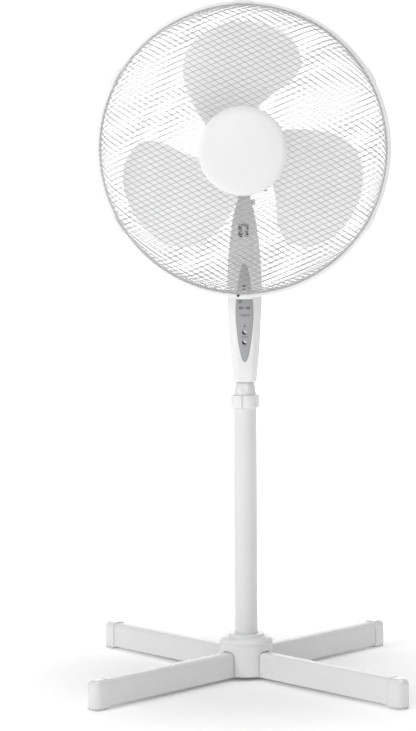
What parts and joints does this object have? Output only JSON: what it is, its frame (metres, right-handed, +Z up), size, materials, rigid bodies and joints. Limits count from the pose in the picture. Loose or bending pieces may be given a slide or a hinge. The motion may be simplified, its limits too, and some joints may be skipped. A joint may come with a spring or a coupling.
{
  "type": "pedestal fan",
  "caption": "Pedestal fan: mesh-guarded bladed head on a telescopic pole with a control pillar and a cross base; it tilts, swings and lifts.",
  "frame": {"origin": "on the floor under the pole axis", "axes": "+Z up; the fan blows towards -Y; +X is to the right of a person who stands in front and faces the fan"},
  "size_m": [0.4816, 0.4816, 1.045],
  "materials": {
    "painted_steel_white": "white powder coat, satin",
    "cap_plastic": "moulded, satin",
    "rubber_pad": "matt, light grey",
    "zinc_steel": "zinc plated",
    "plain_steel": "turned",
    "dark_steel": "black oxide",
    "white_plastic": "moulded, semi-gloss",
    "housing_plastic": "moulded, semi-gloss",
    "inner_plastic": "moulded",
    "chrome_tube": "plated tube",
    "panel_grey": "silver-grey printed face",
    "button_chrome": "plated, domed",
    "circuit_board": "solder mask",
    "led_lens": "clear lens",
    "dark_lens": "smoked",
    "gear_acetal": "acetal",
    "cast_aluminium": "die cast",
    "stator_steel": "laminated",
    "copper_winding": "enamelled copper",
    "bronze": "sintered",
    "guard_wire": "powder-coated wire",
    "rim_plastic": "moulded, semi-gloss",
    "medallion_plastic": "satin pearl",
    "blade_plastic": "moulded, semi-gloss"
  },
  "bodies": {
    "base": {"base_leg_a": "painted_steel_white", "base_leg_b": "painted_steel_white", "leg_end_caps": "cap_plastic", "foot_pads": "rubber_pad", "base_screws": "zinc_steel", "pole_flange": "plain_steel", "base_cover": "white_plastic", "outer_tube": "painted_steel_white", "collar_bush": "inner_plastic", "clamp_collet": "inner_plastic"},
    "lift_nut": {"height_nut": "white_plastic"},
    "mast": {"inner_tube": "chrome_tube", "tube_end_guide": "inner_plastic", "control_housing_front": "housing_plastic", "control_housing_rear": "housing_plastic", "housing_screws": "zinc_steel", "cord_inlet_bush": "rubber_pad", "control_panel": "panel_grey", "control_pcb": "circuit_board", "indicator_leds": "led_lens", "ir_receiver": "dark_lens", "tilt_fork": "plain_steel", "pillar_lock_screw": "dark_steel", "tilt_bolt": "zinc_steel", "tilt_washers": "zinc_steel", "tilt_nut": "zinc_steel"},
    "power_key": {"power_button": "button_chrome"},
    "mode_key": {"mode_button": "button_chrome"},
    "tilt_neck": {"neck": "white_plastic", "swing_gear": "gear_acetal", "swing_washer": "gear_acetal", "swing_lock_screw": "zinc_steel"},
    "head": {"motor_front_bracket": "cast_aluminium", "stator_core": "stator_steel", "stator_windings": "copper_winding", "motor_rear_bracket": "cast_aluminium", "swing_pin": "plain_steel", "motor_bolts": "zinc_steel", "motor_bearings": "bronze", "motor_casing_front": "white_plastic", "motor_casing_rear": "white_plastic", "swing_motor": "zinc_steel", "front_guard": "guard_wire", "rear_guard": "guard_wire", "front_rim": "rim_plastic", "rear_rim": "rim_plastic", "rim_clips": "rim_plastic", "rim_screw": "dark_steel", "rim_nut": "zinc_steel", "rear_guard_plate": "rim_plastic", "guard_ring_nut": "white_plastic", "front_medallion": "medallion_plastic", "medallion_plate": "inner_plastic", "medallion_screws": "zinc_steel"},
    "pinion": {"swing_pinion": "gear_acetal"},
    "rotor": {"motor_shaft": "plain_steel", "rotor_core": "stator_steel", "drive_pin": "plain_steel", "fan_blade": "blade_plastic", "blade_nut": "blade_plastic"}
  },
  "joints": [
    {"name": "nut_turn", "type": "hinge", "parent": "base", "child": "lift_nut", "pos_m": [0, 0, 0.4405], "axis": [0, 0, 1], "range_deg": [-90, 0]},
    {"name": "height_slide", "type": "slide", "parent": "base", "child": "mast", "axis": [0, 0, 1], "range_m": [0, 0.2]},
    {"name": "power_press", "type": "slide", "parent": "mast", "child": "power_key", "axis": [0, 1, 0], "range_m": [0, 0.0009], "stiffness_N_per_m": 600},
    {"name": "mode_press", "type": "slide", "parent": "mast", "child": "mode_key", "axis": [0, 1, 0], "range_m": [0, 0.0009], "stiffness_N_per_m": 600},
    {"name": "head_tilt", "type": "hinge", "parent": "mast", "child": "tilt_neck", "pos_m": [0, 0, 0.7465], "axis": [-1, 0, 0], "range_deg": [-6, 24]},
    {"name": "head_swing", "type": "hinge", "parent": "tilt_neck", "child": "head", "pos_m": [0, -0.00195, 0.77443], "axis": [0, -0.0698, 0.9976], "range_deg": [-40, 40]},
    {"name": "pinion_spin", "type": "hinge", "parent": "head", "child": "pinion", "pos_m": [0, 0.03623, 0.77309], "axis": [0, -0.0698, 0.9976], "range_deg": [-150, 150]},
    {"name": "rotor_spin", "type": "hinge", "parent": "head", "child": "rotor", "pos_m": [0, -0.10359, 0.82296], "axis": [0, 0.9976, 0.0698], "continuous": true}
  ],
  "couplings": [
    {"joint": "pinion_spin", "follows": "head_swing", "ratio": 3.75}
  ]
}
